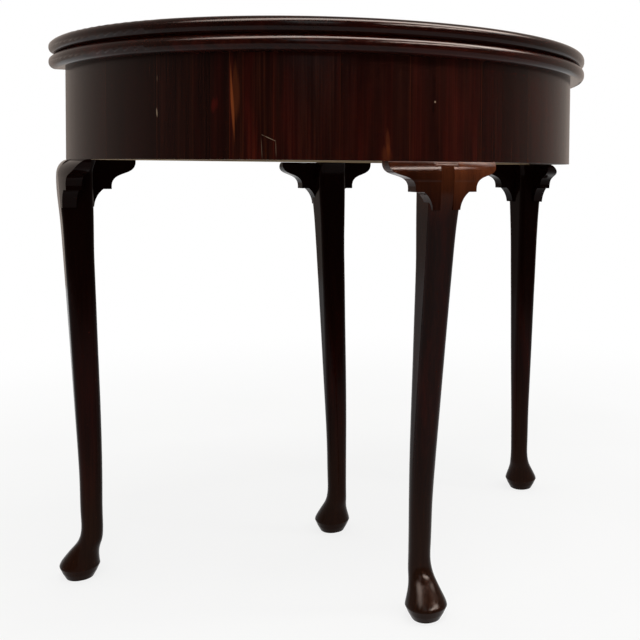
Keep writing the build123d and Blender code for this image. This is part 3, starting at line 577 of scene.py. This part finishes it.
class CARDTABLE_OT_stage(Operator):
    """Set up the floor, the camera, the room's light and the lamps"""

    bl_idname = "cardtable.stage"
    bl_label = "Floor, Camera and Light"

    def execute(self, context):
        stage = context.scene.table_stage
        self.floor(context, stage)
        self.camera(context, stage)
        self.room(context, stage)
        self.lamps(context)
        context.scene.view_settings.view_transform = "Standard"
        return {"FINISHED"}

    def floor(self, context, stage):
        """A plain round floor under the table."""
        mesh = bpy.data.meshes.new("floor")
        shape = bmesh.new()
        bmesh.ops.create_circle(
            shape, cap_ends=True, segments=FLOOR_SIDES, radius=stage.floor_radius)
        shape.to_mesh(mesh)
        shape.free()
        floor = bpy.data.objects.new("floor", mesh)
        context.scene.collection.objects.link(floor)
        mesh.materials.append(floor_paint(stage))

    def camera(self, context, stage):
        """The camera at the photograph's place and angle."""
        data = bpy.data.cameras.new("camera")
        data.sensor_width = SENSOR_WIDTH
        data.lens = stage.camera_lens
        data.shift_x, data.shift_y = stage.camera_shift
        pitch, roll, heading = stage.camera_turn
        turn = (
            Matrix.Rotation(-heading, 4, "Z")
            @ Matrix.Rotation(math.pi / 2 + pitch, 4, "X")
            @ Matrix.Rotation(roll, 4, "Z")
        )
        camera = bpy.data.objects.new("camera", data)
        camera.matrix_world = Matrix.Translation(Vector(stage.camera_place)) @ turn
        context.scene.collection.objects.link(camera)
        context.scene.camera = camera

    def room(self, context, stage):
        """White room to the eye; in the polish it is pale behind and dark in front."""
        world = bpy.data.worlds.new("room")
        world.use_nodes = True
        tree = world.node_tree
        tree.nodes.clear()
        way = add(tree, "ShaderNodeTexCoord", out="Generated")
        back = add(
            tree, "ShaderNodeVectorMath", (way, BACK_WAY), "Value", operation="DOT_PRODUCT")
        behind = add(
            tree, "ShaderNodeMapRange", (back, *BACK_FADE, stage.mirror_front, stage.mirror_back),
            0, interpolation_type="SMOOTHSTEP")
        # The long lamp over the front edge, as the polish shows it: a band from left to right
        across = add(
            tree, "ShaderNodeVectorMath", (way, BAND_WAY), "Value", operation="DOT_PRODUCT")
        across = add(tree, "ShaderNodeMath", [across], 0, operation="ABSOLUTE")
        band = add(
            tree, "ShaderNodeMapRange", (across, *BAND_EDGE, 0, stage.band), 0,
            interpolation_type="SMOOTHSTEP")
        up = add(tree, "ShaderNodeSeparateXYZ", [way], "Z")
        over = add(tree, "ShaderNodeMapRange", (up, *BAND_RISE), 0)
        band = add(tree, "ShaderNodeMath", (band, over), 0, operation="MULTIPLY")
        # A low, wide window in front to the right, which lights the round of the knee
        level = add(tree, "ShaderNodeMath", (up, WINDOW_HEIGHT), 0, operation="SUBTRACT")
        level = add(tree, "ShaderNodeMath", [level], 0, operation="ABSOLUTE")
        window = add(
            tree, "ShaderNodeMapRange", (level, *WINDOW_EDGE, 0, WINDOW_SHARE * stage.band), 0)
        side = add(
            tree, "ShaderNodeVectorMath", (way, WINDOW_WAY), "Value", operation="DOT_PRODUCT")
        side = add(tree, "ShaderNodeMapRange", (side, *WINDOW_SIDE), 0)
        window = add(tree, "ShaderNodeMath", (window, side), 0, operation="MULTIPLY")
        lights = add(tree, "ShaderNodeMath", (band, window), 0, operation="ADD")
        mirror = add(tree, "ShaderNodeMath", (behind, lights), 0, operation="ADD")
        seen, bent = ray_kinds(tree)
        strength = add(tree, "ShaderNodeMix", {0: bent, 2: stage.daylight, 3: mirror}, 0)
        strength = add(tree, "ShaderNodeMix", {0: seen, 2: strength, 3: 1}, 0)
        tone = add(
            tree, "ShaderNodeMix", {0: bent, 6: (1, 1, 1), 7: stage.mirror_tone}, 2,
            data_type="RGBA")
        light = add(tree, "ShaderNodeBackground", [tone, strength], 0)
        add(tree, "ShaderNodeOutputWorld", [light])
        context.scene.world = world

    def lamps(self, context):
        """A long soft lamp over the front edge, one in front and a narrow one at the right."""
        for name, place, target, size, power in LAMPS:
            data = bpy.data.lights.new(name, "AREA")
            data.shape = "RECTANGLE"
            data.size, data.size_y = size
            data.energy = power
            lamp = bpy.data.objects.new(name, data)
            aim = Vector(target) - Vector(place)
            lamp.rotation_euler = aim.to_track_quat("-Z", "Y").to_euler()
            lamp.location = place
            context.scene.collection.objects.link(lamp)


class CARDTABLE_OT_leaves(Operator):
    """Polish the two leaves of the top, and the tongue between them"""

    bl_idname = "cardtable.leaves"
    bl_label = "Leaves of the Top"

    def execute(self, context):
        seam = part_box("fixed_leaf")[1].z
        board = polished_leaf(
            "polished_mahogany_fixed_leaf", FIXED_LEAF_TONES, seed=1.0, seam=seam, side=-1)
        dress(["fixed_leaf"], board)
        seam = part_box("folding_leaf")[0].z
        board = polished_leaf(
            "polished_mahogany_folding_leaf", FOLDING_LEAF_TONES, seed=2.6, seam=seam, side=1)
        dress(["folding_leaf"], board)
        tongue = polished_leaf(
            "polished_mahogany_tongue", TONGUE_TONES, seed=3.1, seam=seam, side=1)
        dress(["locating_tongue"], tongue)
        return {"FINISHED"}


class CARDTABLE_OT_frieze(Operator):
    """Lay the veneer of the bowed frieze, leaf by leaf"""

    bl_idname = "cardtable.frieze"
    bl_label = "Veneered Frieze"

    def execute(self, context):
        for number, node in enumerate(VENEER):
            dress([node], veneer_leaf(number, node))
        return {"FINISHED"}


class CARDTABLE_OT_legs(Operator):
    """Finish the four legs"""

    bl_idname = "cardtable.legs"
    bl_label = "Legs"

    def execute(self, context):
        knee_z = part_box("veneer_leaf_08")[0].z
        for nodes, name, seed, knee_rub_and_light, top_shade in LEGS:
            dress(nodes, leg_wood(f"polished_mahogany_{name}", seed, knee_rub_and_light, knee_z, top_shade))
        return {"FINISHED"}


class CARDTABLE_OT_ears(Operator):
    """Finish the shaped ears beside the knees"""

    bl_idname = "cardtable.ears"
    bl_label = "Ears"

    def execute(self, context):
        knee_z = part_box("veneer_leaf_08")[0].z
        for nodes, name, seed, knee_rub_and_light, top_shade in EARS:
            dress(nodes, leg_wood(f"polished_mahogany_{name}", seed, knee_rub_and_light, knee_z, top_shade))
        return {"FINISHED"}


class CARDTABLE_OT_back(Operator):
    """Finish the outer back rails with the gate, and its pegs and pin"""

    bl_idname = "cardtable.back"
    bl_label = "Back Rails and Gate"

    def execute(self, context):
        look = context.scene.table_finish
        # Planed oak or beech: straw brown and matt, the pegs with their grain along them
        rail = bare_wood("old_rail_wood", "X", look.hardwood, seed=31.0, ring_width=5 * MM)
        dress(RAIL_NODES, rail)
        peg = bare_wood("old_peg_wood", "Y", look.hardwood, seed=33.0, ring_width=3 * MM)
        dress(["gate_tenon_pegs"], peg)
        # Hammered iron: dark grey and rough, brown where it rusts
        pin = old_metal(
            "wrought_iron_pin", look.iron, look.iron_film, roughness=0.45, grit=0.6 * MM)
        dress(["knuckle_pin"], pin)
        return {"FINISHED"}


class CARDTABLE_OT_carcase(Operator):
    """Finish the softwood cores, rails and blocks that the veneer and the top hide"""

    bl_idname = "cardtable.carcase"
    bl_label = "Cores and Blocks"

    def execute(self, context):
        look = context.scene.table_finish
        # Sawn deal: pale brown and matt
        deal = bare_wood("old_softwood", "X", look.softwood, seed=41.0, ring_width=4 * MM)
        dress(SOFTWOOD_NODES, deal)
        # The same deal, darkened as painted shade: no light stripe shows under the frieze's right
        # half
        shade_painted_deal = bare_wood(
            "shade_painted_softwood", "X", look.shade_painted_softwood, seed=43.0, ring_width=4 * MM)
        dress(["right_lower_bricks"], shade_painted_deal)
        return {"FINISHED"}


class CARDTABLE_OT_hinges(Operator):
    """Finish the brass hinges and all the screws"""

    bl_idname = "cardtable.hinges"
    bl_label = "Hinges and Screws"

    def execute(self, context):
        look = context.scene.table_finish
        # Filed sheet brass: dull gold under brown tarnish
        brass = old_metal(
            "aged_brass", look.brass, look.brass_film, roughness=0.24, grit=0.5 * MM)
        dress(BRASS_NODES, brass)
        # Cut steel screws: grey, with brown rust
        steel = old_metal(
            "screw_steel", look.steel, look.steel_film, roughness=0.38, grit=0.4 * MM)
        dress(SCREW_NODES, steel)
        return {"FINISHED"}


STEPS = (
    CARDTABLE_OT_stage, CARDTABLE_OT_leaves, CARDTABLE_OT_frieze, CARDTABLE_OT_legs,
    CARDTABLE_OT_ears, CARDTABLE_OT_back, CARDTABLE_OT_carcase, CARDTABLE_OT_hinges,
)


class CARDTABLE_PT_panel(Panel):
    """Panel that lists the table's pieces in the order in which they are finished"""

    bl_idname = "CARDTABLE_PT_panel"
    bl_label = "Card Table"
    bl_space_type = "VIEW_3D"
    bl_region_type = "UI"
    bl_category = "Card Table"

    def draw(self, context):
        for step in STEPS:
            self.layout.operator(step.bl_idname)
        for group in (context.scene.table_finish, context.scene.table_stage):
            box = self.layout.box()
            for field in group.__annotations__:
                box.prop(group, field)


CLASSES = (TableFinish, TableStage, *STEPS, CARDTABLE_PT_panel)


def register():
    """Register the add-on's classes and its settings."""
    for item in CLASSES:
        bpy.utils.register_class(item)
    bpy.types.Scene.table_finish = PointerProperty(type=TableFinish)
    bpy.types.Scene.table_stage = PointerProperty(type=TableStage)


def unregister():
    """Remove the add-on's classes and its settings."""
    del bpy.types.Scene.table_stage
    del bpy.types.Scene.table_finish
    for item in reversed(CLASSES):
        bpy.utils.unregister_class(item)


def main():
    """Finish every piece in order."""
    register()
    for step in STEPS:
        group, name = step.bl_idname.split(".")
        getattr(getattr(bpy.ops, group), name)()


if __name__ == "__main__":
    main()
